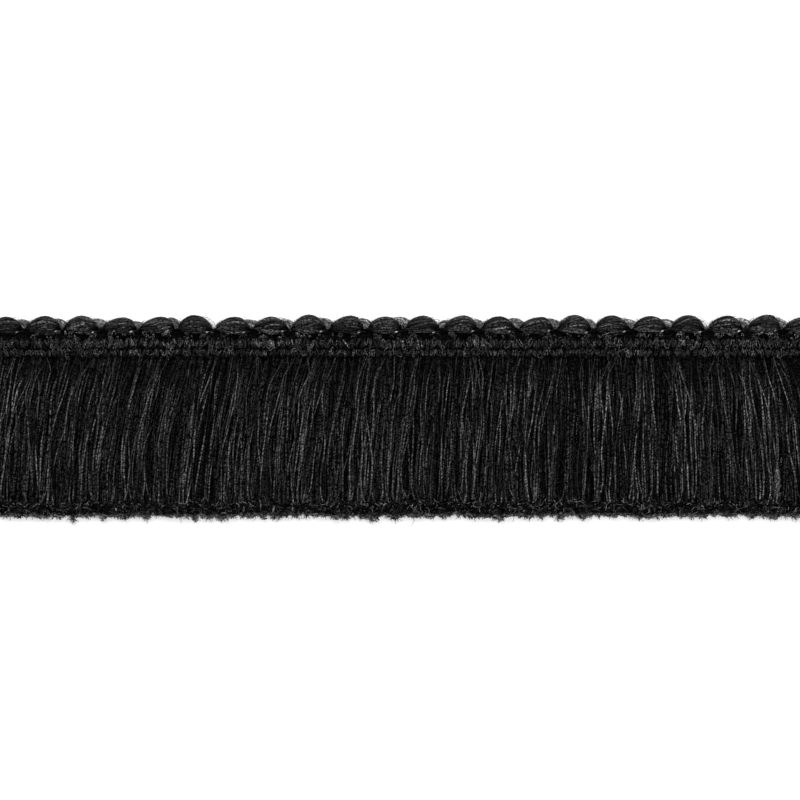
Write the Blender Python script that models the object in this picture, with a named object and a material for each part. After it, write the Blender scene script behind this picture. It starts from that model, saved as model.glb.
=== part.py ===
"""A cut length of black brush fringe trim, lying flat on its back.

X runs along the trim, +Y points from the cut ends of the yarns to the scalloped edge, and +Z is the face
that shows. The origin is the middle of the box's underside. Three pieces are made, as the trim is woven:

heading       the woven band, with two ribs on its face, drawn down a little at each tie
scallop_cord  one soft thick cord along the upper edge, tied at each trough and puffed up between the ties
cut_fringe    the skirt: three layers of locks, fused at their roots into a narrow strip under the heading
"""

import math
import random
from collections import namedtuple

import bmesh
import bpy
from mathutils import Vector

MM = 0.001

# Overall sizes
TRIM_LENGTH = 206 * MM
TRIM_WIDTH = 50.4 * MM
CREST_Y = TRIM_WIDTH / 2
TIP_Y = -TRIM_WIDTH / 2
PIECE_GAP = 0.3 * MM

# Cord: tied tight at each trough, fat at each crest, and wound a little, to the front as it rises. The lower
# its crown number, the fuller its scallops.
CORD_PITCH = 9.5 * MM
CORD_FIRST_TROUGH_X = -103.5 * MM
CORD_CREST_RADIUS = 2.3 * MM
CORD_TROUGH_RADIUS = 1.2 * MM
CORD_LOW_Y = CREST_Y - 2 * CORD_CREST_RADIUS
CORD_Z = 2.5 * MM
CORD_WIND = 0.25 * MM
CORD_LEAN = 0.3 * MM
CORD_CROWN = 0.55
CORD_STEPS_PER_TURN = 10
CORD_SIDE_RESOLUTION = 3

# Heading: its face, from the edge along the cord down to the edge over the fringe
HEADING_HIGH_Y = CORD_LOW_Y - PIECE_GAP
HEADING_LOW_Y = 15.0 * MM
HEADING_STEPS_PER_SCALLOP = 4
TIE_DIP = 0.25 * MM
FacePoint = namedtuple("FacePoint", "y z tie_share")
HEADING_FACE = (
    FacePoint(HEADING_HIGH_Y, 2.5 * MM, 1.0),
    FacePoint(HEADING_HIGH_Y - 0.3 * MM, 3.4 * MM, 1.0),
    FacePoint(HEADING_HIGH_Y - 1.0 * MM, 4.0 * MM, 0.8),
    FacePoint(HEADING_HIGH_Y - 2.0 * MM, 4.0 * MM, 0.5),
    FacePoint(17.7 * MM, 3.6 * MM, 0.4),
    FacePoint(17.3 * MM, 3.1 * MM, 0.3),
    FacePoint(16.9 * MM, 3.6 * MM, 0.2),
    FacePoint(16.2 * MM, 3.9 * MM, 0.1),
    FacePoint(15.4 * MM, 3.6 * MM, 0.0),
    FacePoint(HEADING_LOW_Y, 2.9 * MM, 0.0),
)

# Fringe: the root strip, and the layers of locks from the underside up
STRIP_HIGH_Y = HEADING_LOW_Y - PIECE_GAP
STRIP_LOW_Y = 13.5 * MM
LOCKS_PER_LAYER = 98
LOCK_PITCH = TRIM_LENGTH / LOCKS_PER_LAYER
LOCK_WIDTH = 1.7 * MM
LOCK_WIDTH_SPREAD = 0.14
LOCK_TOP_SHARE = 0.7
LOCK_WOBBLE = 0.06 * MM
LOCK_HEIGHT_SPREAD = 0.12 * MM
SWAY = 0.45 * MM
SWAY_LENGTH = 34 * MM
# The higher, the nearer to the trim's ends the sway goes on
SWAY_END_POWER = 8
TIP_SPREAD = 0.8 * MM
# How far the cut slopes back from the tips, for each unit of height
BEVEL_PER_HEIGHT = 0.52
Layer = namedtuple("Layer", "strip_low strip_high root_low root_high body_low body_high tip_y sway_phase")
LAYERS = (
    Layer(0.0, 0.9 * MM, 0.15 * MM, 0.75 * MM, 0.0, 1.95 * MM, TIP_Y, 0.6),
    Layer(0.9 * MM, 1.75 * MM, 1.05 * MM, 1.6 * MM, 2.25 * MM, 4.0 * MM, TIP_Y + 1.3 * MM, 2.9),
    Layer(1.75 * MM, 2.6 * MM, 1.9 * MM, 2.45 * MM, 4.35 * MM, 6.3 * MM, TIP_Y + 2.5 * MM, 5.1),
)
Section = namedtuple("Section", "fall sweep_share loft")
SECTIONS = (
    Section(0.00, 0.00, 0.0),
    Section(0.30, 0.22, 1.0),
    Section(0.70, 0.84, 1.0),
    Section(1.00, 1.00, 0.96),
)
# How far a lock has swung along X by its tip, by where its root is
Sweep = namedtuple("Sweep", "x shift")
SWEEPS = (
    Sweep(-103 * MM, -3.0 * MM),
    Sweep(-60 * MM, -4.4 * MM),
    Sweep(-10 * MM, -2.6 * MM),
    Sweep(40 * MM, -1.0 * MM),
    Sweep(103 * MM, 3.0 * MM),
)

HEADING_BLACK = (0.014, 0.014, 0.014, 1.0)
CORD_BLACK = (0.020, 0.020, 0.020, 1.0)
FRINGE_BLACK = (0.011, 0.011, 0.011, 1.0)


def clear_scene():
    for item in list(bpy.data.objects):
        bpy.data.objects.remove(item)


def material(name, color, roughness):
    made = bpy.data.materials.new(name)
    made.use_nodes = True
    shader = made.node_tree.nodes["Principled BSDF"]
    shader.inputs["Base Color"].default_value = color
    shader.inputs["Roughness"].default_value = roughness
    shader.inputs["Metallic"].default_value = 0.0
    return made


def link(name, data, finish):
    made = bpy.data.objects.new(name, data)
    data.materials.append(finish)
    bpy.context.scene.collection.objects.link(made)
    return made


def link_shape(name, shape, finish):
    """Turns a closed bmesh into an object whose faces point out."""
    bmesh.ops.recalc_face_normals(shape, faces=shape.faces)
    mesh = bpy.data.meshes.new(name)
    shape.to_mesh(mesh)
    shape.free()
    return link(name, mesh, finish)


def crest_share(x):
    """0 at each trough of the cord, and 1 at each crest."""
    return abs(math.sin(math.pi * (x - CORD_FIRST_TROUGH_X) / CORD_PITCH)) ** CORD_CROWN


# The cord
def cord_radius(x):
    return CORD_TROUGH_RADIUS + (CORD_CREST_RADIUS - CORD_TROUGH_RADIUS) * crest_share(x)


def cord_point(x):
    """The middle of the cord. Its low side keeps to one line, along the heading."""
    angle = 2 * math.pi * (x - CORD_FIRST_TROUGH_X) / CORD_PITCH
    return Vector((
        x + CORD_LEAN * crest_share(x),
        CORD_LOW_Y + cord_radius(x),
        CORD_Z + CORD_WIND * math.sin(angle),
    ))


def make_scallop_cord():
    curve = bpy.data.curves.new("scallop_cord", "CURVE")
    curve.dimensions = "3D"
    curve.bevel_depth = 1.0
    curve.bevel_resolution = CORD_SIDE_RESOLUTION
    curve.use_fill_caps = True
    steps = round(TRIM_LENGTH / CORD_PITCH * CORD_STEPS_PER_TURN)
    spline = curve.splines.new("POLY")
    spline.points.add(steps)
    for step, point in enumerate(spline.points):
        x = TRIM_LENGTH * (step / steps - 0.5)
        point.co = (*cord_point(x), 1.0)
        point.radius = cord_radius(x)
    return link("scallop_cord", curve, material("cord yarn", CORD_BLACK, 0.55))


# The heading
def heading_ring(x):
    """The band's outline at x, from its low bottom corner round over the face."""
    dip = TIE_DIP * (1 - crest_share(x))
    ring = [Vector((x, HEADING_LOW_Y, 0)), Vector((x, HEADING_HIGH_Y, 0))]
    for point in HEADING_FACE:
        ring.append(Vector((x, point.y, point.z - dip * point.tie_share)))
    return ring


def make_heading():
    shape = bmesh.new()
    steps = round(TRIM_LENGTH / CORD_PITCH * HEADING_STEPS_PER_SCALLOP)
    rings = []
    for step in range(steps + 1):
        x = TRIM_LENGTH * (step / steps - 0.5)
        rings.append([shape.verts.new(corner) for corner in heading_ring(x)])
    for ring, following in zip(rings, rings[1:]):
        for index in range(len(ring)):
            after = (index + 1) % len(ring)
            shape.faces.new((ring[index], ring[after], following[after], following[index]))
    shape.faces.new(rings[0])
    shape.faces.new(rings[-1])
    return link_shape("heading", shape, material("heading yarn", HEADING_BLACK, 0.7))


# The fringe
def sweep_at(x):
    """How far a lock rooted at x has swung by its tip, between the rows of SWEEPS."""
    for low, high in zip(SWEEPS, SWEEPS[1:]):
        if x <= high.x:
            share = (x - low.x) / (high.x - low.x)
            return low.shift + (high.shift - low.shift) * max(share, 0.0)
    return SWEEPS[-1].shift


def lock_sections(layer, column, slack, chance):
    """The four corners of a lock at each of SECTIONS, by side: (-1 or 1 along X, -1 or 1 in height)."""
    x = -TRIM_LENGTH / 2 + LOCK_PITCH * (column + 0.5)
    at_end = column in (0, LOCKS_PER_LAYER - 1)
    half_width = LOCK_WIDTH / 2 * (1 if at_end else 1 - LOCK_WIDTH_SPREAD * chance.random())
    raised = 0 if layer is LAYERS[0] else chance.uniform(-1, 1) * LOCK_HEIGHT_SPREAD
    inner_share = 1 - (2 * abs(x) / TRIM_LENGTH) ** SWAY_END_POWER
    sway = SWAY * math.sin(2 * math.pi * x / SWAY_LENGTH + layer.sway_phase) * inner_share
    sections = []
    for section in SECTIONS:
        wobble = 0 if at_end or not section.fall else chance.uniform(-1, 1) * LOCK_WOBBLE
        middle = x + (sweep_at(x) + sway) * section.sweep_share + wobble
        y = STRIP_LOW_Y + (layer.tip_y + slack - STRIP_LOW_Y) * section.fall
        low = layer.body_low if section.fall else layer.root_low
        high = layer.root_high + (layer.body_high + raised - layer.root_high) * section.loft
        corners = {}
        for side in (-1, 1):
            corners[side, -1] = Vector((middle + side * half_width, y, low))
            corners[side, 1] = Vector((middle + side * half_width * LOCK_TOP_SHARE, y, high))
            if section is SECTIONS[-1]:
                corners[side, 1].y += (high - low) * BEVEL_PER_HEIGHT
        sections.append(corners)
    return sections


def set_section(face, corners):
    """Moves a face's four corners to those of a section."""
    middle = face.calc_center_median()
    for vert in face.verts:
        side = 1 if vert.co.x > middle.x else -1
        level = 1 if vert.co.z > middle.z else -1
        vert.co = corners[side, level]


def strip_with_cells(shape):
    """The root strip, its low side divided into one cell for each lock. Returns the cells by (layer, column)."""
    edges = [LAYERS[0].strip_low] + [layer.strip_high for layer in LAYERS]
    grid = []
    for column in range(LOCKS_PER_LAYER + 1):
        x = -TRIM_LENGTH / 2 + LOCK_PITCH * column
        grid.append([shape.verts.new((x, STRIP_LOW_Y, z)) for z in edges])
    cells = {}
    for level in range(len(LAYERS)):
        for column in range(LOCKS_PER_LAYER):
            cells[level, column] = shape.faces.new((
                grid[column][level],
                grid[column + 1][level],
                grid[column + 1][level + 1],
                grid[column][level + 1],
            ))
    rim = [edge for edge in shape.edges if edge.is_boundary]
    back = bmesh.ops.extrude_edge_only(shape, edges=rim)["geom"]
    back_verts = [item for item in back if isinstance(item, bmesh.types.BMVert)]
    bmesh.ops.translate(shape, verts=back_verts, vec=(0, STRIP_HIGH_Y - STRIP_LOW_Y, 0))
    back_rim = [item for item in back if isinstance(item, bmesh.types.BMEdge) and item.is_boundary]
    bmesh.ops.holes_fill(shape, edges=back_rim, sides=0)
    return cells


def tip_slacks(chance):
    """How far short of its layer's line each lock ends. The longest lock of each layer reaches the line."""
    slacks = {}
    for level in range(len(LAYERS)):
        drawn = [chance.random() for _ in range(LOCKS_PER_LAYER)]
        for column, share in enumerate(drawn):
            slacks[level, column] = TIP_SPREAD * (share - min(drawn))
    return slacks


def make_cut_fringe():
    chance = random.Random(5)
    slacks = tip_slacks(chance)
    shape = bmesh.new()
    for (level, column), cell in strip_with_cells(shape).items():
        sections = lock_sections(LAYERS[level], column, slacks[level, column], chance)
        bmesh.ops.inset_individual(shape, faces=[cell], thickness=PIECE_GAP / 2)
        set_section(cell, sections[0])
        face = cell
        for corners in sections[1:]:
            face = bmesh.ops.extrude_discrete_faces(shape, faces=[face])["faces"][0]
            set_section(face, corners)
    return link_shape("cut_fringe", shape, material("fringe yarn", FRINGE_BLACK, 0.6))


def main():
    clear_scene()
    make_heading()
    make_scallop_cord()
    make_cut_fringe()


main()
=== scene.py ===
"""Looks of a black brush fringe trim: its yarns, puffed cord and woven heading, with floor, light and camera.

The trim lies flat on its back, X along it, +Y towards the scalloped edge, +Z up. All sizes are in metres.
Each yarn, strand, wrap and fibre is a thin closed tube. Many tubes are joined into one mesh by add_tubes.
"""

import math
from collections import namedtuple

import bpy
import numpy as np
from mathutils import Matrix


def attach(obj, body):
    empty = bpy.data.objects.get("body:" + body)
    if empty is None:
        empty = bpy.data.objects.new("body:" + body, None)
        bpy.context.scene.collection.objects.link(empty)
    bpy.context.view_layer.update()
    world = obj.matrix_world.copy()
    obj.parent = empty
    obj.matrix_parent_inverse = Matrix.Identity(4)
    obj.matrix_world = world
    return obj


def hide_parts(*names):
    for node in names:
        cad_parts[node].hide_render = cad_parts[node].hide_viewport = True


MM = 0.001
TURN = 2 * math.pi
ALONG = (1, 0, 0)
UP = (0, 0, 1)
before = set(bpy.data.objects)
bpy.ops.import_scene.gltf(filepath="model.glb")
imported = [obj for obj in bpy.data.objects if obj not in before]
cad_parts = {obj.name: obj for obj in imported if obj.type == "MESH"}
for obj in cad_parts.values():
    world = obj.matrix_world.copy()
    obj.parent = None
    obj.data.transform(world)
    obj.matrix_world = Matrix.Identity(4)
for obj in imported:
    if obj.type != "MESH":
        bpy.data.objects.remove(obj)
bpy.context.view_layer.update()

# Sizes of the solids, repeated from the part
TRIM_LENGTH = 206 * MM
HALF_LENGTH = TRIM_LENGTH / 2
CREST_Y = 25.2 * MM
TIP_Y = -25.2 * MM
CORD_PITCH = 9.5 * MM
CORD_FIRST_TROUGH_X = -103.5 * MM
CORD_CREST_RADIUS = 2.3 * MM
CORD_LOW_Y = CREST_Y - 2 * CORD_CREST_RADIUS
# How far a yarn has swung along X by its tip, by where its root is
SWEEP_X = np.array([-103, -60, -10, 40, 103]) * MM
SWEEP_SHIFT = np.array([-3.0, -4.4, -2.6, -1.0, 3.0]) * MM

chance = np.random.default_rng(11)


def smooth(share):
    """0 up to a share of 0, 1 from a share of 1, and an even S between."""
    share = np.clip(share, 0, 1)
    return share * share * (3 - 2 * share)


def unit(vectors):
    return vectors / np.linalg.norm(vectors, axis=-1, keepdims=True)


def joined(x, y, z):
    """Points with these coordinates, each of them one value or an array."""
    return np.stack(np.broadcast_arrays(x, y, z), axis=-1)


# Materials
# black is a yarn's mean shade, and ply_length one turn of its plies. plies says how much of the shade lies
# on the bright dots where the plies turn up, and fibres how much of it is broken up by fibres.
Finish = namedtuple("Finish", "name black ply_length plies fibres roughness specular bump")
DULL_YARN = Finish("dull yarn", 0.011, 0.80 * MM, 0.50, 0.95, 0.60, 0.02, 0.08 * MM)
# Painted sheen: this is the same black yarn, given a higher black for the yarns that lie on top and catch the
# light.
LIT_YARN = Finish("lit yarn", 0.040, 0.80 * MM, 0.48, 0.80, 0.45, 0.08, 0.10 * MM)
CORD_STRAND = Finish("cord strand", 0.020, 1.10 * MM, 0.35, 1.00, 0.40, 0.12, 0.05 * MM)
DULL_WRAP = Finish("dull wrap", 0.009, 0.55 * MM, 0.60, 0.80, 0.60, 0.04, 0.10 * MM)
# Painted highlight: this is the same black wrap, given a higher black for the loops and curls that lie on top
# and catch the light.
LIT_WRAP = Finish("lit wrap", 0.030, 0.55 * MM, 0.60, 0.80, 0.42, 0.12, 0.10 * MM)
# Painted highlight: the tie thread's higher black, with the tones of its route, paints where the shiny thread
# catches the light.
TIE_THREAD = Finish("tie thread", 0.10, 0.40 * MM, 0.30, 0.20, 0.30, 0.60, 0.03 * MM)
FLUFF = Finish("fluff", 0.022, 1.50 * MM, 0.30, 0.70, 0.55, 0.10, 0.01 * MM)
# Noise of the fibres, and noise that turns the plies, by up to UNEVEN_TURN radians
FIBRE_SCALE = 1700
UNEVEN_SCALE = 700
UNEVEN_TURN = 20.0
# With these the dots and the specks have a mean of about 1
DOT_PEAK = 2.6
SPECK_CONTRAST = 6.0
SPECK_START = -2.4
SPECK_PEAK = 1.8


def link(tree, source, target):
    tree.links.new(source, target)


def math_node(tree, operation, *values):
    """A Math node. Each value is a number or another node's output."""
    node = tree.nodes.new("ShaderNodeMath")
    node.operation = operation
    for socket, value in zip(node.inputs, values):
        if isinstance(value, (int, float)):
            socket.default_value = value
        else:
            link(tree, value, socket)
    return node.outputs[0]


def noise_node(tree, coordinates, scale):
    node = tree.nodes.new("ShaderNodeTexNoise")
    node.inputs["Scale"].default_value = scale
    node.inputs["Detail"].default_value = 1
    link(tree, coordinates.outputs["Object"], node.inputs["Vector"])
    return node.outputs["Fac"]


def yarn_material(finish):
    """Dyed yarn: two plies wind round it, fibres break the light up, and each yarn has its own tone."""
    material = bpy.data.materials.new(finish.name)
    material.use_nodes = True
    tree = material.node_tree
    shader = tree.nodes["Principled BSDF"]
    shader.inputs["Roughness"].default_value = finish.roughness
    shader.inputs["Specular IOR Level"].default_value = finish.specular
    coordinates = tree.nodes.new("ShaderNodeTexCoord")
    fibres = noise_node(tree, coordinates, FIBRE_SCALE)
    uneven = noise_node(tree, coordinates, UNEVEN_SCALE)

    # The plies wind unevenly. twist is 1 where they turn up and 0 where they turn down
    place = tree.nodes.new("ShaderNodeUVMap")
    place.uv_map = "Yarn"
    parts = tree.nodes.new("ShaderNodeSeparateXYZ")
    link(tree, place.outputs[0], parts.inputs[0])
    around = math_node(tree, "MULTIPLY", parts.outputs[0], TURN)
    along = math_node(tree, "MULTIPLY_ADD", parts.outputs[1], TURN / finish.ply_length, around)
    angle = math_node(tree, "MULTIPLY_ADD", uneven, UNEVEN_TURN, along)
    twist = math_node(tree, "MULTIPLY_ADD", math_node(tree, "SINE", angle), 0.5, 0.5)

    tone = tree.nodes.new("ShaderNodeAttribute")
    tone.attribute_name = "tone"
    sharp = math_node(tree, "POWER", twist, 2.0)
    dots = math_node(tree, "MULTIPLY_ADD", sharp, DOT_PEAK * finish.plies, 1 - finish.plies)
    specks = math_node(tree, "MULTIPLY_ADD", fibres, SPECK_CONTRAST, SPECK_START)
    specks.node.use_clamp = True
    broken = math_node(tree, "MULTIPLY_ADD", specks, SPECK_PEAK * finish.fibres, 1 - finish.fibres)
    shade = math_node(tree, "MULTIPLY", math_node(tree, "MULTIPLY", dots, broken), tone.outputs["Fac"])
    colour = tree.nodes.new("ShaderNodeVectorMath")
    colour.operation = "SCALE"
    colour.inputs[0].default_value = (finish.black, finish.black, finish.black)
    link(tree, shade, colour.inputs["Scale"])
    link(tree, colour.outputs[0], shader.inputs["Base Color"])

    height = math_node(tree, "MULTIPLY_ADD", fibres, 0.6, twist)
    bump = tree.nodes.new("ShaderNodeBump")
    bump.inputs["Distance"].default_value = finish.bump
    link(tree, height, bump.inputs["Height"])
    link(tree, bump.outputs[0], shader.inputs["Normal"])
    return material


dull_yarn = yarn_material(DULL_YARN)
lit_yarn = yarn_material(LIT_YARN)
cord_strand = yarn_material(CORD_STRAND)
dull_wrap = yarn_material(DULL_WRAP)
lit_wrap = yarn_material(LIT_WRAP)
tie_thread = yarn_material(TIE_THREAD)
fluff = yarn_material(FLUFF)


# Tubes
# The strips of the map OFBake: how many times longer than wide they are, and what their tubes fill of them
STRIP_LENGTH = 24
STRIP_LEFT = 0.08
STRIP_WIDTH = 0.84
STRIP_LOW = 0.06
STRIP_RUN = 0.88
STRIP_FIRST_END = 0.03
STRIP_LAST_END = 0.97
STRIP_END_SIZE = 0.015
# How far into its pattern a yarn may start
PATTERN_START = 5 * MM


def side_angles(sides):
    return TURN * (np.arange(sides) + 0.5) / sides


def tube_points(paths, radii, sides, guide):
    """The points of the tubes, an array of (tube, step, side, xyz)."""
    along = unit(np.gradient(paths, axis=1))
    side = unit(np.cross(along, guide))
    up = np.cross(side, along)
    angle = side_angles(sides)[:, None]
    rim = np.cos(angle) * side[:, :, None, :] + np.sin(angle) * up[:, :, None, :]
    return paths[:, :, None, :] + radii[:, :, None, None] * rim


def tube_faces(count, steps, sides):
    """The corners of all faces in turn, and how many each face has. The quads come first, then the ends."""
    index = np.arange(count * steps * sides).reshape(count, steps, sides)
    after = np.roll(index, -1, axis=2)
    quads = np.stack([index[:, :-1], index[:, 1:], after[:, 1:], after[:, :-1]], axis=-1)
    starts = index[:, 0, :]
    ends = index[:, -1, ::-1]
    corners = np.concatenate([quads.ravel(), starts.ravel(), ends.ravel()])
    sizes = np.concatenate([np.full(quads.size // 4, 4), np.full(2 * count, sides)])
    return corners, sizes


def tube_maps(paths, sides):
    """The places of all corners on the maps OFBake and Yarn, in the order of tube_faces."""
    count, steps = paths.shape[:2]
    lengths = np.linalg.norm(np.diff(paths, axis=1), axis=2)
    metres = np.concatenate([np.zeros((count, 1)), np.cumsum(lengths, axis=1)], axis=1)
    metres += chance.uniform(0, PATTERN_START, (count, 1))
    shape = (count, steps - 1, sides)
    ring = np.broadcast_to(np.arange(sides), shape)
    step = np.broadcast_to(np.arange(steps - 1)[:, None], shape)
    step_of_corner = np.stack([step, step + 1, step + 1, step], axis=-1)
    ring_of_corner = np.stack([ring, ring, ring + 1, ring + 1], axis=-1)
    tube = np.broadcast_to(np.arange(count)[:, None, None, None], step_of_corner.shape)
    columns = math.ceil(math.sqrt(count * STRIP_LENGTH))
    rows = math.ceil(count / columns)

    def in_strip(tube, across, down):
        from_left = tube % columns + STRIP_LEFT + STRIP_WIDTH * across
        from_foot = tube // columns + down
        return np.stack([from_left / columns, from_foot / rows], axis=-1)

    down = STRIP_LOW + STRIP_RUN * step_of_corner / (steps - 1)
    tube_of_end = np.repeat(np.arange(count), sides)
    turn = np.tile(side_angles(sides), count)
    end_across = 0.5 + 0.5 * np.cos(turn)
    end_down = STRIP_END_SIZE * np.sin(turn)
    strips = np.concatenate([
        in_strip(tube, ring_of_corner % 2, down).reshape(-1, 2),
        in_strip(tube_of_end, end_across, STRIP_FIRST_END + end_down),
        in_strip(tube_of_end, end_across, STRIP_LAST_END + end_down),
    ])
    end_turn = np.tile(np.arange(sides) / sides, count)
    yarns = np.concatenate([
        np.stack([ring_of_corner / sides, metres[tube, step_of_corner]], axis=-1).reshape(-1, 2),
        np.stack([end_turn, metres[tube_of_end, 0]], axis=-1),
        np.stack([end_turn, metres[tube_of_end, -1]], axis=-1),
    ])
    return strips, yarns


def add_tubes(name, paths, radii, sides, guide, tones, material):
    """One mesh of closed tubes, one along each row of paths, an array of (tube, step, xyz).

    radii and tones are arrays of (tube, step), or of a size that spreads to it. guide is a direction that no
    tube runs along, for all the tubes or for each. The map OFBake gives each tube a strip of its own, and the
    map Yarn holds the turn round the tube and the metres along it.
    """
    count, steps = paths.shape[:2]
    points = tube_points(paths, np.broadcast_to(radii, (count, steps)), sides, guide)
    corners, sizes = tube_faces(count, steps, sides)
    strips, yarns = tube_maps(paths, sides)

    mesh = bpy.data.meshes.new(name)
    mesh.vertices.add(points.size // 3)
    mesh.vertices.foreach_set("co", points.astype(np.float32).ravel())
    mesh.loops.add(len(corners))
    mesh.loops.foreach_set("vertex_index", corners.astype(np.int32))
    mesh.polygons.add(len(sizes))
    mesh.polygons.foreach_set("loop_start", (np.cumsum(sizes) - sizes).astype(np.int32))
    mesh.update(calc_edges=True)
    for map_name, places in (("OFBake", strips), ("Yarn", yarns)):
        layer = mesh.uv_layers.new(name=map_name)
        layer.uv.foreach_set("vector", places.astype(np.float32).ravel())
    tone_of_point = np.repeat(np.broadcast_to(tones, (count, steps)), sides)
    tone = mesh.attributes.new("tone", "FLOAT", "POINT")
    tone.data.foreach_set("value", tone_of_point.astype(np.float32))
    mesh.shade_smooth()
    mesh.materials.append(material)
    made = bpy.data.objects.new(name, mesh)
    bpy.context.scene.collection.objects.link(made)
    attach(made, "root")
    return made


def varied(count, low, high, bright_share=0.0, bright=1.0):
    """A tone for each yarn, between low and high, but for a share of them that catch more light."""
    tones = chance.uniform(low, high, (count, 1))
    picked = chance.random(count) < bright_share
    tones[picked] = bright * chance.uniform(0.7, 1.0, (picked.sum(), 1))
    return tones


def drift(x, length):
    """An uneven wave of x from 0 to 1, with its swells about length apart."""
    parts = (1.0, 0.61, 0.27)
    phases = chance.uniform(0, TURN, len(parts))
    waves = [np.sin(TURN * x / (length * part) + phase) for part, phase in zip(parts, phases)]
    return 0.5 + sum(waves) / 6


def along_x(y, z, steps, waver=0.0):
    """A path from end to end of the trim."""
    x = np.linspace(-HALF_LENGTH, HALF_LENGTH, steps)
    return joined(x, y + chance.normal(0, waver, steps), z)[None]


def along_route(route, steps):
    """The columns of a route, each read at even steps along it."""
    rows = np.linspace(0, 1, len(route))
    return [np.interp(np.linspace(0, 1, steps), rows, column) for column in np.array(route).T]


# Loose fibres
PLY_RADIUS = 0.16 * MM
# Heights that loose fibres stay between
FUZZ_LOW_Z = 0.1 * MM
FUZZ_TOP_Z = 7.0 * MM


def fibre_paths(starts, directions, lengths, curl, steps):
    """Short bent fibres. Returns their paths, and for each the direction square to the plane of its bend."""
    count = len(starts)
    directions = unit(directions)
    aside = unit(np.cross(directions, chance.normal(0, 1, (count, 3))))
    share = np.linspace(0, 1, steps)[None, :, None]
    reach = lengths[:, None, None]
    bend = curl * chance.uniform(0.2, 1.0, (count, 1, 1)) * share**2
    crimp = 0.1 * curl * np.sin(share * chance.uniform(4, 12, (count, 1, 1)))
    paths = starts[:, None] + reach * (directions[:, None] * share + aside[:, None] * (bend + crimp))
    return paths, np.cross(directions, aside)[:, None]


def pressed(paths, low_z=FUZZ_LOW_Z):
    """Fibres kept between low_z and the top of the fuzz."""
    return joined(paths[..., 0], paths[..., 1], np.clip(paths[..., 2], low_z, FUZZ_TOP_Z))


# The skirt
ROOT_Y = 15.3 * MM
SKIRT_HEIGHT = 6.3 * MM
# How high the lowest roots lie, and how much higher those of the topmost yarns
ROOT_LOW_Z = 0.4 * MM
ROOT_RISE = 2.1 * MM
YARN_RADIUS = 0.26 * MM
# The cut ends slope back: a yarn ends this much farther up for each metre that it lies over the floor
BEVEL = 0.535
# A yarn's swing aside is quick at first and then slower
SWING_EASE = 1.8
CLUMP_WIDTH = 2.6 * MM

# One depth of the skirt. low and high are the heights that its yarns lie between.
# scatter: how far a root strays, in pitches of the yarns.
# pull: how much clumps draw the yarns together. sway: how much of the sweep they follow.
# arch: how far aside they bend at the root. clump_lean and own_lean: how far clumps and single yarns lean.
# rise: how much the middle of a clump stands up. tip_spread: how far tips fall short.
# hook: how far tips hook aside. dip: how deep yarns go under others. fade: how much light they lose there.
# end_light: how much light the splayed ends gain.
Depth = namedtuple(
    "Depth",
    "name count steps radius low high scatter pull sway arch clump_lean own_lean"
    " rise tip_spread hook dip fade end_light",
)
TOP = Depth(
    name="skirt_top", count=310, steps=28, radius=0.205 * MM,
    low=5.3 * MM, high=6.3 * MM, scatter=6, pull=0.1, sway=1.4,
    arch=1.1 * MM, clump_lean=0.6 * MM, own_lean=1.7 * MM, rise=0.2 * MM,
    tip_spread=0.8 * MM, hook=0.5 * MM, dip=0.9 * MM, fade=0.85, end_light=1.8,
)
FACE = Depth(
    name="skirt_face", count=760, steps=20, radius=0.24 * MM,
    low=4.3 * MM, high=5.6 * MM, scatter=0.5, pull=0.4, sway=1.2,
    arch=0.5 * MM, clump_lean=0.6 * MM, own_lean=1.0 * MM, rise=0.4 * MM,
    tip_spread=0.5 * MM, hook=0.3 * MM, dip=0.4 * MM, fade=0.5, end_light=1.5,
)
MIDDLE = Depth(
    name="skirt_middle", count=900, steps=12, radius=0.28 * MM,
    low=2.0 * MM, high=4.5 * MM, scatter=0.5, pull=0.0, sway=1.05,
    arch=0.0, clump_lean=0.1 * MM, own_lean=0.4 * MM, rise=0.0,
    tip_spread=0.2 * MM, hook=0.0, dip=0.0, fade=0.0, end_light=-1.6,
)
BACK = Depth(
    name="skirt_back", count=850, steps=12, radius=0.32 * MM,
    low=0.4 * MM, high=1.6 * MM, scatter=0.5, pull=0.0, sway=1.05,
    arch=0.0, clump_lean=0.1 * MM, own_lean=0.3 * MM, rise=0.0,
    tip_spread=0.08 * MM, hook=0.0, dip=0.0, fade=0.0, end_light=-1.6,
)
# Waves of a yarn: the shortest and longest in millimetres, and their size
Wave = namedtuple("Wave", "shortest longest size")
WAVES = (Wave(4, 8, 0.10 * MM), Wave(14, 44, 1.3 * MM))

# The lowest ends are frayed over this length
FRAY = 0.30 * MM
# How far the ends of the pile have swung outwards by the tips, how they are rounded off, and how much of what
# strays past them is drawn in
END_SHIFT = 3.1 * MM
END_ROUND = 1.3 * MM
END_DROP = 0.85
END_GATHER = 0.7
# Along the cut ends the loose fibres start and stop here
RIM_LEFT_X = -HALF_LENGTH - 3.0 * MM
RIM_RIGHT_X = HALF_LENGTH + 2.5 * MM


def rim_y(x):
    """Where the lowest frayed ends lie. The cut wavers, with lumps."""
    return (
        TIP_Y + 0.33 * MM
        + 0.15 * MM * np.sin(x / (5.9 * MM))
        + 0.22 * MM * np.sin(x / (1.3 * MM) + 3 * np.sin(x / (7.0 * MM)))
        + 0.14 * MM * np.sin(x / (0.47 * MM) + 3 * np.sin(x / (3.1 * MM)))
    )


def swung(share):
    """How much of its swing aside a yarn has made, by the share of its fall."""
    return 1 - (1 - share) ** SWING_EASE


def yarn_bend(length, share):
    """How far the waves of each yarn take it aside."""
    count = len(length)
    bend = np.zeros((count, share.shape[1]))
    for wave in WAVES:
        wave_length = chance.uniform(wave.shortest, wave.longest, (count, 1)) * MM
        phase = chance.uniform(0, TURN, (count, 1))
        size = wave.size * chance.uniform(0.2, 1.0, (count, 1)) * (wave_length / (wave.longest * MM)) ** 1.5
        bend = bend + size * np.sin(TURN * share * length / wave_length + phase)
    return bend


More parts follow.
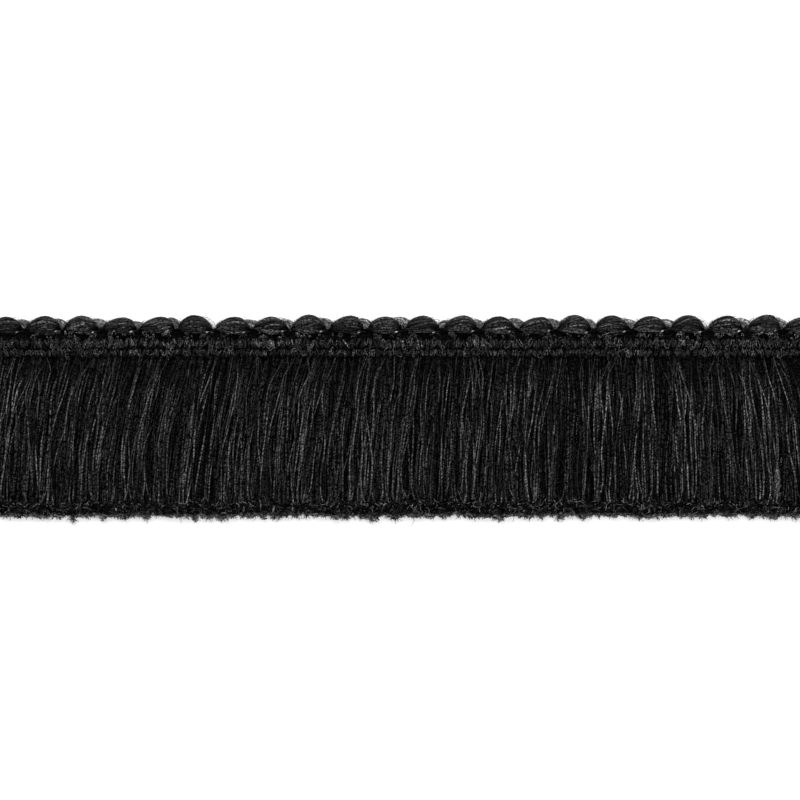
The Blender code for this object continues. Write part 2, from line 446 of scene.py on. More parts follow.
def yarn_light(length, share):
    """A yarn comes to the light over part of its fall, where this is 1, and goes under others elsewhere."""
    count = len(length)
    swell = chance.uniform(12, 45, (count, 1)) * MM
    phase = chance.uniform(0, TURN, (count, 1))
    return smooth(0.6 + 0.8 * np.sin(TURN * length * share / swell + phase))


def round_off_ends(x, z, share):
    """At the ends of the trim yarns slide down the side of the pile, and strays are drawn in."""
    past = np.abs(x) - (HALF_LENGTH + END_SHIFT * swung(share))
    z = z * (1 - END_DROP * smooth((past + END_ROUND) / (3 * END_ROUND)))
    x = x - END_GATHER * np.sign(x) * np.maximum(past, 0)
    return x, z


def skirt_paths(depth, edges):
    """Yarns of one depth of the skirt, leaning and drawn together by clumps, which lie between edges.

    Returns their paths, the share of each step in its yarn's fall, and how much each step comes to the light.
    """
    count = depth.count
    clumps = len(edges) - 1
    middles = (edges[1:] + edges[:-1]) / 2
    clump_lean = chance.normal(0, depth.clump_lean, clumps)
    clump_pull = depth.pull * chance.uniform(0.2, 1.0, clumps)
    clump_height = chance.uniform(-0.5, 0.5, clumps)

    pitch = TRIM_LENGTH / count
    stray = chance.uniform(-depth.scatter, depth.scatter, count)
    root = (np.arange(count) + 0.5 + stray) * pitch - HALF_LENGTH
    root = np.clip(root, -HALF_LENGTH, HALF_LENGTH)
    clump = np.clip(np.searchsorted(edges, root) - 1, 0, clumps - 1)
    offset = (root - middles[clump]) / (edges[clump + 1] - edges[clump]) * 2
    body = depth.low + (depth.high - depth.low) * chance.random(count)
    body = body + depth.rise * (1 - offset**2 + clump_height[clump])
    sweep = np.interp(root, SWEEP_X, SWEEP_SHIFT)
    own_lean = chance.normal(0, depth.own_lean, count)
    short = np.abs(chance.normal(0, depth.tip_spread, count))
    tip = rim_y(root) + FRAY + BEVEL * (body - YARN_RADIUS) + short
    length = (ROOT_Y - tip)[:, None]
    share = np.linspace(0, 1, depth.steps)[None, :]
    free = smooth(share / 0.25)

    pull = clump_pull[clump][:, None] * smooth(share / 0.5) * (1 - 0.5 * smooth((share - 0.75) / 0.25))
    x = root[:, None] + (middles[clump] - root)[:, None] * pull
    x = x + (depth.sway * sweep + clump_lean[clump])[:, None] * swung(share)
    x = x + own_lean[:, None] * smooth(share / chance.uniform(0.5, 1.1, (count, 1)))
    bend = yarn_bend(length, share)
    x = x + bend * free
    arch = chance.normal(0, depth.arch, (count, 1))
    x = x + arch * (1 - smooth(share / chance.uniform(0.1, 0.3, (count, 1))))
    x = x + chance.normal(0, depth.hook, (count, 1)) * smooth((share - 0.93) / 0.07)
    y = ROOT_Y - length * share

    high_share = (body / SKIRT_HEIGHT)[:, None]
    root_z = ROOT_LOW_Z + high_share * ROOT_RISE
    z = root_z + (body[:, None] - root_z) * smooth((share - 0.02) / 0.30)
    z = z + 0.3 * np.clip(np.roll(bend, 1, axis=0), -1 * MM, 1 * MM) * free
    z = z - 0.35 * MM * high_share * smooth((share - 0.8) / 0.2)
    light = yarn_light(length, share)
    z = z - depth.dip * (1 - light) * free
    light = light * chance.uniform(0.7, 1.3, clumps)[clump][:, None]
    x, z = round_off_ends(x, z, share)
    return joined(x, y, np.maximum(z, 1.5 * YARN_RADIUS)), share, light


def clump_edges():
    clumps = round(TRIM_LENGTH / CLUMP_WIDTH)
    even = np.linspace(-HALF_LENGTH, HALF_LENGTH, clumps + 1)
    edges = np.sort(even + chance.uniform(-0.7, 0.7, clumps + 1) * CLUMP_WIDTH)
    edges[[0, -1]] = even[[0, -1]]
    return edges


def light_down(share):
    """The light along a yarn: little in the heading's shadow, more at its root, and all of it lower down."""
    return 0.26 + 0.74 * smooth((share - 0.02) / 0.32) + 0.35 * (1 - smooth(share / 0.06))


def make_skirt():
    edges = clump_edges()
    rows = (
        # The top yarns take the yarn with painted sheen.
        (TOP, lit_yarn, varied(TOP.count, 0.2, 1.35, 0.28, 1.75)),
        (FACE, dull_yarn, varied(FACE.count, 0.15, 1.45, 0.16, 2.5)),
        (MIDDLE, dull_yarn, varied(MIDDLE.count, 0.05, 0.95)),
        (BACK, dull_yarn, varied(BACK.count, 0.3, 1.2, 0.1, 2.0)),
    )
    pieces = []
    for depth, material, tones in rows:
        paths, share, light = skirt_paths(depth, edges)
        radii = depth.radius * chance.uniform(0.8, 1.15, (depth.count, 1))
        # The cut ends splay
        foot = chance.uniform(0, 0.5, (depth.count, 1)) * smooth((share - 0.95) / 0.05)
        shades = tones * light_down(share) * (1 + depth.end_light * foot)
        shades = shades * (1 - depth.fade + depth.fade * light)
        radii = radii * (1 + foot)
        pieces.append(add_tubes(depth.name, paths, radii, 4, UP, shades, material))
    for piece in pieces:
        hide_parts("cut_fringe")


def make_skirt_fuzz():
    """Loose fibres over the yarns."""
    count = 600
    x = chance.uniform(-HALF_LENGTH, HALF_LENGTH, count)
    y = chance.uniform(-21, 14, count) * MM
    z = chance.uniform(5.2, 6.0, count) * MM
    # Near the heading the yarns lie low
    root_z = 2.6 * MM
    z = root_z + (z - root_z) * smooth((ROOT_Y - y) / (11 * MM))
    x = x + np.interp(x, SWEEP_X, SWEEP_SHIFT) * smooth((ROOT_Y - y) / (34 * MM))
    directions = chance.normal(0, (0.5, 1.0, 0.15), (count, 3))
    lengths = chance.uniform(0.6, 2.6, count) * MM
    paths, guide = fibre_paths(joined(x, y, z), directions, lengths, 1.2, 9)
    paths = pressed(paths, 1.0 * MM)
    add_tubes("skirt_fuzz", paths, 0.025 * MM, 3, guide, varied(count, 0.6, 2.2), fluff)


def make_cut_fuzz():
    """Loose fibres on the cut ends, which slope back from the lowest."""
    count = 3500
    level = chance.random(count)
    x = chance.uniform(-HALF_LENGTH - 3.5 * MM, HALF_LENGTH + 2.5 * MM, count)
    y = rim_y(x) + 0.2 * MM + 3.5 * MM * level + chance.normal(0, 0.25 * MM, count)
    z = 0.3 * MM + 5.9 * MM * level
    directions = chance.normal((0, -0.1, 0.2), (1.0, 0.45, 0.4), (count, 3))
    lengths = chance.uniform(0.3, 1.6, count) * MM
    paths, guide = fibre_paths(joined(x, y, z), directions, lengths, 1.3, 5)
    tones = varied(count, 0.02, 0.5, 0.30, 5.3)
    # Uneven patches along the trim, times painted shade that deepens on the low fibres near the floor
    patches_and_shade = (0.4 + 1.2 * drift(x, 19 * MM)) * (0.5 + level)
    shades = tones * patches_and_shade[:, None]
    add_tubes("cut_fuzz", pressed(paths), 0.05 * MM, 3, guide, shades, fluff)


def lump_hang():
    """A few lumps of the frayed ends hang lower. Returns a function that tells how far, by x."""
    pitch = 5 * MM
    lumps = np.arange(-HALF_LENGTH, HALF_LENGTH, pitch)
    lumps = lumps + chance.uniform(0, pitch, len(lumps))
    width = chance.uniform(0.25, 0.9, len(lumps)) * MM
    drop = width * chance.uniform(0.4, 1.5, len(lumps))

    def hang(x):
        return (drop * np.exp(-(((x[:, None] - lumps) / width) ** 2))).max(axis=1)

    return hang


def make_rim():
    """The frayed lowest ends: small tufts, each with its own reach and a tone of painted light, over matted
    ends.
    """
    tufts = 600
    place = chance.uniform(RIM_LEFT_X, RIM_RIGHT_X, tufts)
    hang = lump_hang()
    reach = chance.triangular(-0.6, -0.1, 0.2, tufts) * MM + hang(place)
    middles = joined(place, rim_y(place) - reach, chance.uniform(0.4, 1.4, tufts) * MM)
    # Painted light: tones far above the yarn's black stand for the light that shows through the thin frayed
    # fibres.
    tones = varied(tufts, 0.4, 4.0, 0.5, 9.0)
    make_rim_fuzz(middles, tones)
    make_rim_mat(hang)
    make_rim_plies(middles, tones)


def make_rim_fuzz(middles, tones):
    """The fibres of the tufts."""
    per_tuft = 6
    count = len(middles) * per_tuft
    spread = chance.normal(0, (0.2 * MM, 0.1 * MM, 0.2 * MM), (count, 3))
    starts = np.repeat(middles, per_tuft, axis=0) + spread
    directions = chance.normal(0, (1.0, 0.45, 0.3), (count, 3))
    lengths = chance.uniform(0.2, 0.6, count) * MM
    paths, guide = fibre_paths(starts, directions, lengths, 2.2, 4)
    shades = np.repeat(tones, per_tuft, axis=0) * chance.uniform(0.6, 1.3, (count, 1))
    add_tubes("rim_fuzz", pressed(paths), 0.065 * MM, 3, guide, shades, fluff)


# Rows of matted ends: millimetres inward from the rim, height over the floor and tone. The tone is painted
# light, highest on the outer rows at the edge
MatRow = namedtuple("MatRow", "inward height tone")
MAT_ROWS = (MatRow(0.2, 0.35, 6.0), MatRow(0.5, 0.5, 4.5), MatRow(0.9, 0.7, 1.0))


def make_rim_mat(hang):
    """Matted ends, which close the edge under the tufts."""
    steps = 420
    x = np.linspace(RIM_LEFT_X, RIM_RIGHT_X, steps)
    paths = []
    for row in MAT_ROWS:
        y = rim_y(x) + row.inward * MM - 0.7 * hang(x) + chance.normal(0, 0.04 * MM, steps)
        paths.append(joined(x, y, row.height * MM))
    row_tones = np.array([row.tone for row in MAT_ROWS])[:, None]
    shades = chance.uniform(0.3, 2.2, (len(MAT_ROWS), steps)) * row_tones
    add_tubes("rim_mat", np.stack(paths), 0.27 * MM, 5, UP, shades, fluff)


def make_rim_plies(middles, tones):
    """A loose ply in the middle of each tuft."""
    count = len(middles)
    directions = chance.normal(0, (1.0, 0.7, 0.2), (count, 3))
    starts = middles - (0, 0, 0.1 * MM)
    lengths = chance.uniform(0.4, 0.8, count) * MM
    paths, guide = fibre_paths(starts, directions, lengths, 1.2, 4)
    paths = pressed(paths, PLY_RADIUS)
    # The plies take the painted light of their tufts, somewhat less.
    add_tubes("rim_plies", paths, PLY_RADIUS, 4, guide, 0.7 * tones, fluff)


# The cord
STRANDS = 84
STRAND_RADIUS = 0.17 * MM
GOLDEN_ANGLE = 2.399963
# Turns that a strand winds round the cord in each scallop
WINDING = 0.13
STEPS_PER_SCALLOP = 10
# The cord's upper side in the necks at its troughs, and how full its crests are
NECK_Y = 22.2 * MM
CORD_CROWN = 0.6
DOMES = 24
dome_size = chance.uniform(0.85, 1.3, DOMES)
dome_lean = chance.uniform(0.0, 1.3, DOMES) * MM
dome_sag = chance.uniform(0.2, 0.9, DOMES) * MM
# The troughs, but for those at the very ends
trough_x = CORD_FIRST_TROUGH_X + CORD_PITCH * np.arange(DOMES)
trough_x = trough_x[np.abs(trough_x) < HALF_LENGTH - 1.5 * MM]


def dome_at(x):
    """The number of the scallop at x."""
    return np.clip(np.floor((x - CORD_FIRST_TROUGH_X) / CORD_PITCH).astype(int), 0, DOMES - 1)


def scallop_share(x):
    """How far x is through its scallop, from 0 at the trough on its left to 1 at the next."""
    return (x - CORD_FIRST_TROUGH_X) / CORD_PITCH % 1


def puff_share(x):
    """0 in the neck at each trough of the cord, and 1 at each crest."""
    return np.sin(math.pi * np.clip((scallop_share(x) - 0.01) / 0.93, 0, 1))


def cord_surface(x, depth, angle):
    """A point of the puffed cord, at x along it.

    depth is 1 on its skin and 0 in its middle. angle is 0 towards +Y and a quarter turn towards +Z. The tie
    draws the cord down and back at each trough, so that its strands rise from there in arches.
    """
    dome = dome_at(x)
    puff = puff_share(x)
    through = scallop_share(x)
    high_y = NECK_Y + (CREST_Y - NECK_Y) * puff**CORD_CROWN * (0.55 + 0.45 * dome_size[dome])
    sag = dome_sag[dome] * smooth(through / 0.6) * smooth((1 - through) / 0.2)
    low_y = CORD_LOW_Y + 0.75 * MM - sag
    half_z = (0.75 + 1.75 * puff**0.8) * MM
    y = (high_y + low_y) / 2 + ((high_y - low_y) / 2 - STRAND_RADIUS) * depth * np.cos(angle)
    z = (1.0 + 1.5 * puff) * MM + (half_z - STRAND_RADIUS) * depth * np.sin(angle)
    return joined(x + dome_lean[dome] * puff, y, np.maximum(z, 1.2 * STRAND_RADIUS))


def make_cord():
    """Strands wound along the skin of the cord, a third of them lower down, over a plain core."""
    steps = round(TRIM_LENGTH / CORD_PITCH * STEPS_PER_SCALLOP)
    x = np.linspace(-HALF_LENGTH, HALF_LENGTH, steps)[None, :]
    number = np.arange(STRANDS)
    start = (number * GOLDEN_ANGLE)[:, None]
    depth = np.where(number % 3 == 0, 0.75, 1.0)[:, None]
    turn = TURN * WINDING * (x - CORD_FIRST_TROUGH_X) / CORD_PITCH
    waver = 0.25 * np.sin(TURN * x / (chance.uniform(13, 31, (STRANDS, 1)) * MM) + start * 3)
    loose = 1 + 0.06 * np.sin(TURN * x / (chance.uniform(9, 23, (STRANDS, 1)) * MM) + start * 5)
    angle = start - turn + waver
    paths = cord_surface(np.broadcast_to(x, (STRANDS, steps)), depth * loose, angle)
    squeeze = 0.6 + 0.4 * puff_share(x) ** 0.6
    radii = STRAND_RADIUS * chance.uniform(0.75, 1.2, (STRANDS, 1)) * squeeze
    # Painted light: each strand takes the light its own way in each scallop. Painted shade lies on the lower
    # right flank of each scallop and in the necks, where the tie draws the strands down.
    strand_catch = chance.uniform(0.2, 1.8, (STRANDS, DOMES)) * chance.uniform(0.6, 1.4, DOMES)
    catch = strand_catch[:, dome_at(x[0])]
    shadow = 0.7 * smooth((scallop_share(x) - 0.55) / 0.3) * smooth((0.8 - np.cos(angle)) / 0.6)
    shades = varied(STRANDS, 0.2, 1.3, 0.25, 3.6) * catch * (1 - shadow)
    # Painted shade in the necks at the troughs
    shades = shades * (0.03 + 0.97 * smooth((puff_share(x) - 0.2) / 0.6))
    strands = add_tubes("cord_strands", paths, radii, 3, UP, shades, cord_strand)
    core_path = cord_surface(np.broadcast_to(x, (1, steps)), 0.0, 0.0)
    core_radius = 0.4 * MM + 1.4 * MM * puff_share(core_path[:, :, 0])
    core = add_tubes("cord_core", core_path, core_radius, 12, UP, 0.3, cord_strand)
    for piece in (strands, core):
        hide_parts("scallop_cord")


def make_trough_wraps():
    """Threads that tie the cord down at each trough, wound round it over its face, with near black painted
    shade.
    """
    per_trough = 6
    troughs = np.repeat(trough_x, per_trough)
    # Millimetres along the cord from the middle of the wraps
    off = np.tile(np.linspace(-0.7, 0.7, per_trough), len(trough_x))
    x = (troughs - 0.35 * MM + off * MM + chance.normal(0, 0.08 * MM, len(troughs)))[:, None]
    off = off[:, None]
    angle = np.linspace(-0.25 * math.pi, 1.15 * math.pi, 13)[None, :]
    high_y = 22.15 * MM + 0.15 * MM * np.abs(off)
    low_y = CORD_LOW_Y - 0.1 * MM
    high_z = 1.95 * MM + 0.25 * MM * off**2
    y = (high_y + low_y) / 2 + (high_y - low_y) / 2 * np.cos(angle)
    z = high_z * (0.35 + 0.65 * np.sin(angle))
    lean = 0.25 * MM * np.cos(angle)
    paths = joined(x + lean, y, np.maximum(z, 0.3 * MM))
    # Tones near 0: painted shade, for the wraps lie deep in the troughs
    tones = varied(len(paths), 0.02, 0.15)
    add_tubes("trough_wraps", paths, 0.17 * MM, 5, ALONG, tones, dull_wrap)


# A tie thread's route in millimetres from the trough that it crosses, with its radius and tone: out of the
# heading, up to the right over the cord's low side, where its high tone is a painted highlight, and down into
# the trough
TiePoint = namedtuple("TiePoint", "x y z radius tone")
TIE_ROUTE = (
    TiePoint(-2.9, 20.5, 3.2, 0.08, 0.1),
    TiePoint(-2.3, 21.0, 4.2, 0.10, 0.2),
    TiePoint(-2.1, 21.2, 4.45, 0.19, 2.6),
    TiePoint(-1.8, 21.3, 4.45, 0.19, 2.6),
    TiePoint(-1.6, 21.35, 4.1, 0.08, 0.3),
    TiePoint(-0.8, 21.5, 3.0, 0.07, 0.1),
    TiePoint(-0.2, 21.7, 2.3, 0.07, 0.05),
)


def make_ties():
    """One thread at each trough, with a painted highlight where it crosses the cord's low side."""
    x, y, z, radius, tone = along_route(TIE_ROUTE, 19)
    count = len(trough_x)
    jitter = chance.normal(0, 0.15 * MM, (count, 2))
    paths = joined(trough_x[:, None] + x * MM + jitter[:, :1], y * MM + jitter[:, 1:], z * MM)
    tones = tone * chance.uniform(0.3, 1.4, (count, 1))
    add_tubes("tie_threads", paths, radius * MM, 6, UP, tones, tie_thread)


# A loose bundle of strands along the low side of each scallop, from the trough on its left to the tie thread:
# its route in millimetres from that trough, with the width of the bundle and its share of the light
BandPoint = namedtuple("BandPoint", "x y z spread tone")
BAND_ROUTE = (
    BandPoint(-0.2, 22.0, 1.9, 0.1, 0.1),
    BandPoint(0.5, 21.95, 2.7, 0.3, 0.2),
    BandPoint(1.8, 21.85, 3.8, 1.0, 0.8),
    BandPoint(3.4, 21.75, 4.5, 1.5, 1.1),
    BandPoint(5.2, 21.55, 4.6, 1.2, 0.9),
    BandPoint(6.8, 21.35, 4.3, 0.5, 0.5),
    BandPoint(7.8, 21.25, 3.6, 0.2, 0.1),
)


def make_bands():
    """The loose bundles of all scallops."""
    per_scallop = 9
    troughs = np.repeat(trough_x, per_scallop)
    count = len(troughs)
    steps = 13
    share = np.linspace(0, 1, steps)
    x, y, z, spread, tone = along_route(BAND_ROUTE, steps)
    place = chance.uniform(-0.5, 0.5, (count, 1))
    place = place + 0.12 * np.sin(share * 9 + chance.uniform(0, 6, (count, 1)))
    y = y + place * spread
    z = z - 0.6 * place**2 + chance.uniform(-0.1, 0.1, (count, 1))
    paths = joined(troughs[:, None] + x * MM, y * MM, z * MM)
    lit = np.repeat(chance.uniform(0.3, 2.6, len(trough_x)), per_scallop)[:, None]
    catch = smooth(0.5 + 0.7 * np.sin(share * 7 + chance.uniform(0, TURN, (count, 1))))
    tones = tone * lit * chance.uniform(0.3, 1.5, (count, 1)) * (0.3 + 0.9 * catch)
    add_tubes("cord_bands", paths, 0.13 * MM, 3, UP, tones, cord_strand)


def make_back_loops():
    """Behind the scallops the cord's loose strands loop back. They show lighter between the crests."""
    per_trough = 30
    groups = len(trough_x)
    side = np.where(chance.random(groups) < 0.85, -1.0, 1.0)
    middle_x = trough_x + side * chance.uniform(0.5, 1.5, groups) * MM
    is_low = chance.random(groups) < 0.15
    crest_y = np.where(is_low, 22.5, chance.triangular(23.7, 24.8, 25.1, groups)) * MM
    half_width = chance.uniform(2.5, 3.7, groups) * MM
    of_groups = (middle_x, crest_y, half_width)
    middle_x, crest_y, half_width = (np.repeat(values, per_trough)[:, None] for values in of_groups)

    count = groups * per_trough
    foot_y = 21.6 * MM
    size = np.sqrt(chance.uniform(0.05, 1.0, (count, 1)))
    share = np.linspace(0, 1, 12)[None, :]
    angle = math.pi * share
    ripple = 0.08 * MM * np.sin(share * chance.uniform(6, 16, (count, 1)) + chance.uniform(0, 6, (count, 1)))
    x = middle_x - (half_width * size + ripple) * np.cos(angle)
    y = foot_y + ((crest_y - foot_y) * size + ripple) * np.sin(angle) ** 0.9
    z = chance.uniform(0.4, 1.9, (count, 1)) * MM + ripple
    paths = joined(x, y, np.maximum(z, 0.2 * MM))
    radii = 0.12 * MM * chance.uniform(0.6, 1.3, (count, 1))
    # Tones far above the yarn's black: painted light on the thin loose loops
    add_tubes("back_loops", paths, radii, 3, UP, varied(count, 3.0, 12.0), fluff)


def make_trough_fuzz():
    """Fine curled fibres on the shoulders of the scallops and over the troughs."""
    troughs = np.repeat(trough_x, 8)
    count = len(troughs)
    left = troughs + chance.uniform(-3.8, -1.5, count) * MM
    right = troughs + chance.uniform(-0.3, 2.2, count) * MM
    share = np.linspace(0, 1, 17)[None, :]
    x = left[:, None] + (right - left)[:, None] * share
    rim = cord_surface(x, 1.0, 0.0)[..., 1]
    lift = chance.uniform(0.1, 1.1, (count, 1)) * MM * np.sin(math.pi * share) ** 0.7
    turn = share * chance.uniform(8, 26, (count, 1)) + chance.uniform(0, 6, (count, 1))
    curl = chance.uniform(0.05, 0.28, (count, 1)) * MM
    y = rim + lift + curl * np.sin(turn)
    x = x + curl * np.cos(turn) + 0.6 * lift
    z = 2.0 * MM + chance.uniform(-0.8, 1.2, (count, 1)) * MM + 0.5 * curl * np.sin(turn + 1)
    # Tones above the yarn's black: painted light on the fine fibres
    tones = varied(count, 1.0, 7.0)
    add_tubes("trough_fuzz", joined(x, y, z), 0.04 * MM, 3, UP, tones, fluff)


def make_crest_fuzz():
    """Short fibres that stand off the cord."""
    count = 420
    x = chance.uniform(-HALF_LENGTH, HALF_LENGTH, count)
    angle = chance.uniform(-0.3, math.pi * 0.8, count)
    starts = cord_surface(x, 1.0, angle)
    outward = joined(chance.normal(0, 1.2, count), np.cos(angle), np.sin(angle))
    lengths = chance.uniform(0.3, 0.9, count) * MM
    paths, guide = fibre_paths(starts, outward, lengths, 1.6, 5)
    add_tubes("crest_fuzz", paths, 0.025 * MM, 3, guide, varied(count, 0.6, 2.2), fluff)


# The heading
Rib = namedtuple("Rib", "low_y high_y height pitch loops edge_rise")
RIBS = (
    Rib(16.95 * MM, 19.85 * MM, 3.95 * MM, 0.75 * MM, 240, 0.6 * MM),
    Rib(14.90 * MM, 17.15 * MM, 3.85 * MM, 0.75 * MM, 230, 0.0),
)
WRAP_RADIUS = 0.32 * MM
LOOP_RADIUS = 0.14 * MM
CURL_RADIUS = 0.13 * MM
# A wrap's section is between a circle, at 1, and a box, at 0
SQUARENESS = 0.45


def rib_sizes(rib):
    """The middle and the half sizes of the path that a rib's wraps follow."""
    middle_y = (rib.low_y + rib.high_y) / 2
    return middle_y, (rib.high_y - rib.low_y) / 2 - WRAP_RADIUS, rib.height / 2 - WRAP_RADIUS


def rib_top(rib, y):
    """The height of a rib's wraps at y."""
    middle_y, half_y, half_z = rib_sizes(rib)
    off = np.clip(np.abs(y - middle_y) / half_y, 0, 1) ** (1 / SQUARENESS)
    return 2 * WRAP_RADIUS + half_z * (1 + (1 - off**2) ** (SQUARENESS / 2))


def squared(wave):
    return np.sign(wave) * np.abs(wave) ** SQUARENESS


def wrap_paths(rib):
    """Short yarns wound round one rib: up its lower flank, over its face, down its upper flank, and back."""
    count = round(TRIM_LENGTH / rib.pitch)
    angle = np.linspace(-0.5 * math.pi, 1.5 * math.pi, 13)[None, :]
    middle_y, half_y, half_z = rib_sizes(rib)
    cos = squared(np.cos(angle))
    sin = squared(np.sin(angle))
    place = (np.arange(count) + 0.5) * rib.pitch - HALF_LENGTH + chance.normal(0, 0.15 * MM, count)
    # The edge along the cord rises twice for each scallop
    rise = rib.edge_rise * np.cos(2 * TURN * ((place - CORD_FIRST_TROUGH_X) / CORD_PITCH - 0.3))[:, None]
    slant = chance.normal(0.05, 0.35, (count, 1)) * MM + 0.25 * MM * np.sin(place / (1.9 * MM))[:, None]
    face = smooth(sin * 1.5)
    x = place[:, None] - slant * cos * face
    waver = 0.10 * MM * np.sin(place / (2.9 * MM) + 2 * np.sin(place / (11 * MM)))[:, None]
    y = middle_y - cos * (half_y + chance.normal(0, 0.15 * MM, (count, 1))) + rise * smooth(-cos) + waver
    z = WRAP_RADIUS + half_z + sin * half_z + chance.normal(0, 0.14 * MM, (count, 1)) * face
    return joined(x, y, np.maximum(z, 1.3 * WRAP_RADIUS))


def loop_paths(rib):
    """Small loops of yarn that stand on a rib, some with their bend up and some with it down."""
    count = rib.loops
    middle_y = (rib.low_y + rib.high_y) / 2
    share = np.linspace(0, 1, 13)[None, :]
    place = (np.arange(count) + 0.5) * TRIM_LENGTH / count - HALF_LENGTH + chance.normal(0, 0.3 * MM, count)
    width = chance.uniform(0.0, 0.8, (count, 1)) * MM
    tall = (rib.high_y - rib.low_y) * chance.uniform(0.4, 0.85, (count, 1))
    turned = np.where(chance.random((count, 1)) < 0.5, 1, -1)
    rise = tall * (np.sin(math.pi * share) ** 0.5 - 0.5)
    x = place[:, None] - np.cos(math.pi * share) * width / 2 + chance.normal(0, 0.4, (count, 1)) * rise
    room = (rib.high_y - rib.low_y - tall) / 2
    y = middle_y + turned * rise + chance.uniform(-1, 1, (count, 1)) * room
    z = rib_top(rib, y) + 0.1 * MM + chance.normal(0, 0.05, (count, 1)) * MM
    return joined(x, y, z)


def make_rib(number, rib):
    """The wraps, the core and the loops of one rib. Returns the wraps and the core."""
    paths = wrap_paths(rib)
    radii = WRAP_RADIUS * chance.uniform(0.75, 1.2, (len(paths), 1))
    tones = varied(len(paths), 0.3, 1.2, 0.15, 2.5) * (0.5 + drift(paths[:, :1, 0], 23 * MM))
    wraps = add_tubes(f"heading_wraps_{number}", paths, radii, 5, ALONG, tones, dull_wrap)

    core_radius = (rib.high_y - rib.low_y) / 2 - 1.4 * WRAP_RADIUS
    core_path = along_x((rib.low_y + rib.high_y) / 2, rib.height / 2, 60)
    core = add_tubes(f"heading_core_{number}", core_path, core_radius, 12, UP, 0.3, dull_wrap)

    paths = loop_paths(rib)
    radii = LOOP_RADIUS * chance.uniform(0.7, 1.2, (len(paths), 1))
    tones = varied(len(paths), 0.2, 1.1, 0.26, 2.2) * (0.25 + 1.5 * drift(paths[:, :1, 0], 17 * MM))
    tones = tones * (1.05 - 0.2 * number)
    add_tubes(f"heading_loops_{number}", paths, radii, 4, UP, tones, lit_wrap)
    return [wraps, core]


def make_ribs():
    pieces = []
    for number, rib in enumerate(RIBS):
        pieces += make_rib(number, rib)
    for piece in pieces:
        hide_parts("heading")


def make_heading_curls():
    """Plain loops and curls that lie anywhere on the face, many over its groove, and break up its lines."""
    count = 180
    share = np.linspace(0, 1, 13)[None, :]
    is_curl = chance.random((count, 1)) < 0.5

    def sizes(curl_low, curl_high, loop_low, loop_high):
        of_curls = chance.uniform(curl_low, curl_high, (count, 1))
        of_loops = chance.uniform(loop_low, loop_high, (count, 1))
        return np.where(is_curl, of_curls, of_loops) * MM

    more_turn = is_curl * chance.uniform(0.6, 1.1, (count, 1)) * math.pi
    turn = (math.pi + more_turn) * share + chance.uniform(0, 1, (count, 1))
    wide = sizes(0.35, 0.6, 0.1, 0.4)
    tall = sizes(0.4, 0.65, 0.8, 1.5)
    middle_x = chance.uniform(-HALF_LENGTH, HALF_LENGTH, (count, 1))
    anywhere = chance.uniform(15.3, 19.2, (count, 1))
    on_groove = chance.random((count, 1)) < 0.3
    middle_y = np.where(on_groove, chance.normal(17.3, 0.3, (count, 1)), anywhere) * MM
    y = middle_y + tall * (np.sin(turn) - 0.4)
    x = middle_x + wide * np.cos(turn) + chance.normal(0, 0.25, (count, 1)) * (y - middle_y)
    z = 4.25 * MM - 0.35 * MM * share + chance.normal(0, 0.05 * MM, (count, 1))
    tones = varied(count, 0.2, 1.8)
    add_tubes("heading_curls", joined(x, y, z), CURL_RADIUS, 4, UP, tones, lit_wrap)


def make_edge_loops():
    """Loops that climb from the band over the low side of the cord, brighter under some scallops."""
    per_scallop = 11
    troughs = np.repeat(trough_x, per_scallop)
    count = len(troughs)
    share = np.linspace(0, 1, 11)[None, :]
    group_x = np.where(chance.random(count) < 0.55, 2.7, 7.2) * MM
    middle_x = (troughs + group_x + chance.normal(0, 0.8 * MM, count))[:, None]
    tall = chance.uniform(0.35, 0.9, (count, 1)) * MM
    wide = chance.uniform(0.1, 0.45, (count, 1)) * MM
    y = chance.uniform(19.5, 20.9, (count, 1)) * MM + tall * (np.sin(math.pi * share) ** 0.6 - 0.2)
    x = middle_x - wide * np.cos(math.pi * share) + chance.normal(0, 0.5, (count, 1)) * (y - 20 * MM)
    z = 3.5 * MM + 0.5 * (y - 19.4 * MM) + chance.normal(0, 0.06 * MM, (count, 1))
    lit = np.repeat(chance.uniform(0.3, 1.8, len(trough_x)), per_scallop)[:, None]
    tones = lit * chance.uniform(0.3, 2.2, (count, 1))
    add_tubes("edge_loops", joined(x, y, z), LOOP_RADIUS, 4, UP, tones, lit_wrap)


def make_heading_warp():
    """The warp of the band, which shows dark in the groove and along the cord."""
    places = np.arange(15.3, 22.0, 0.55) * MM
    warps = np.concatenate([along_x(y, 1.5 * MM, 110, 0.05 * MM) for y in places])
    # Painted shade: the warp under the cord's low side gets a low tone, for the recess between cord and
    # heading
    tones = np.where(places < 19.5 * MM, 1.2, 0.25)[:, None]
    add_tubes("heading_warp", warps, 0.36 * MM, 5, UP, tones, dull_wrap)


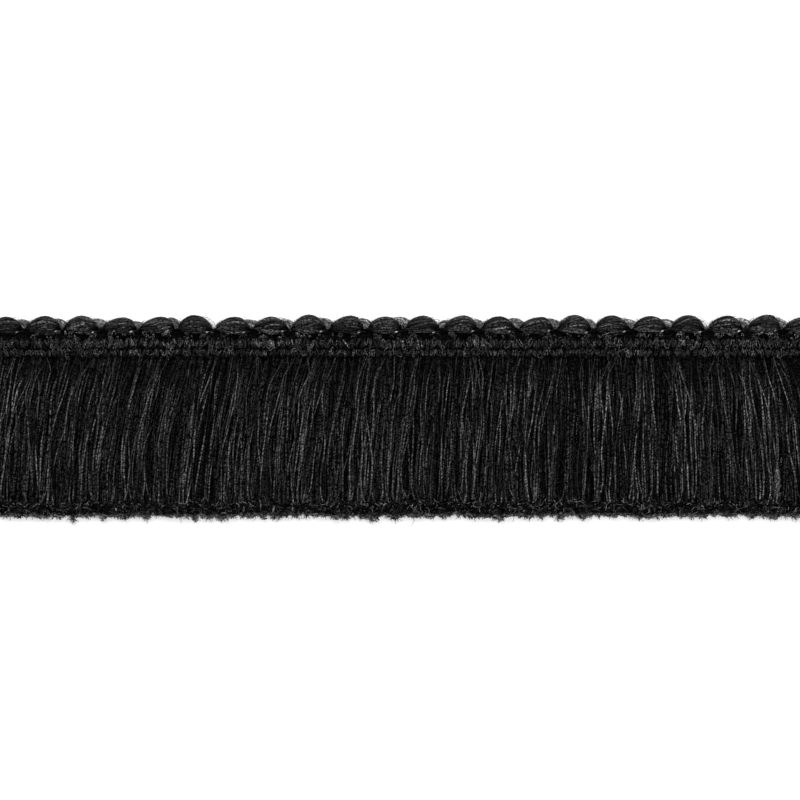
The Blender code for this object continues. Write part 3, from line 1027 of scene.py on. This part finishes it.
# Floor, light and camera
def make_floor():
    mesh = bpy.data.meshes.new("floor")
    half = 1.5
    corners = [(-half, -half, 0), (half, -half, 0), (half, half, 0), (-half, half, 0)]
    mesh.from_pydata(corners, [], [(0, 1, 2, 3)])
    material = bpy.data.materials.new("pale floor")
    material.use_nodes = True
    shader = material.node_tree.nodes["Principled BSDF"]
    shader.inputs["Base Color"].default_value = (0.92, 0.92, 0.92, 1)
    shader.inputs["Roughness"].default_value = 0.9
    shader.inputs["Specular IOR Level"].default_value = 0.1
    mesh.materials.append(material)
    floor = bpy.data.objects.new("floor", mesh)
    floor.location.z = -0.1 * MM
    bpy.context.scene.collection.objects.link(floor)


def add_area(name, place, size, power):
    """A square soft light at place, facing the trim."""
    data = bpy.data.lights.new(name, "AREA")
    data.size = size
    data.energy = power
    lamp = bpy.data.objects.new(name, data)
    lamp.location = place
    towards = -np.array(place)
    lamp.rotation_euler = (
        math.atan2(math.hypot(towards[0], towards[1]), -towards[2]),
        0,
        math.atan2(towards[1], towards[0]) - math.pi / 2,
    )
    bpy.context.scene.collection.objects.link(lamp)


def make_light():
    world = bpy.data.worlds.new("studio")
    world.use_nodes = True
    background = world.node_tree.nodes["Background"]
    background.inputs["Color"].default_value = (1, 1, 1, 1)
    background.inputs["Strength"].default_value = 0.55
    bpy.context.scene.world = world
    add_area("key", place=(-0.15, 0.62, 0.72), size=0.35, power=8)
    add_area("fill", place=(0.35, -0.10, 0.90), size=0.5, power=5)


def make_camera():
    """Straight above the trim, with 200 mm of its length in view, as in the photograph."""
    view_width = 200 * MM
    middle_y = 4.25 * MM
    mid_height = 4 * MM
    data = bpy.data.cameras.new("camera")
    data.lens = 150
    data.sensor_width = 36
    camera = bpy.data.objects.new("camera", data)
    camera.location = (0, middle_y, mid_height + view_width * data.lens / data.sensor_width)
    scene = bpy.context.scene
    scene.collection.objects.link(camera)
    scene.camera = camera
    scene.view_settings.view_transform = "Standard"
    scene.view_settings.look = "None"


make_skirt()
make_skirt_fuzz()
make_cut_fuzz()
make_rim()
make_cord()
make_trough_wraps()
make_ties()
make_bands()
make_back_loops()
make_trough_fuzz()
make_crest_fuzz()
make_ribs()
make_heading_curls()
make_edge_loops()
make_heading_warp()
make_floor()
make_light()
make_camera()
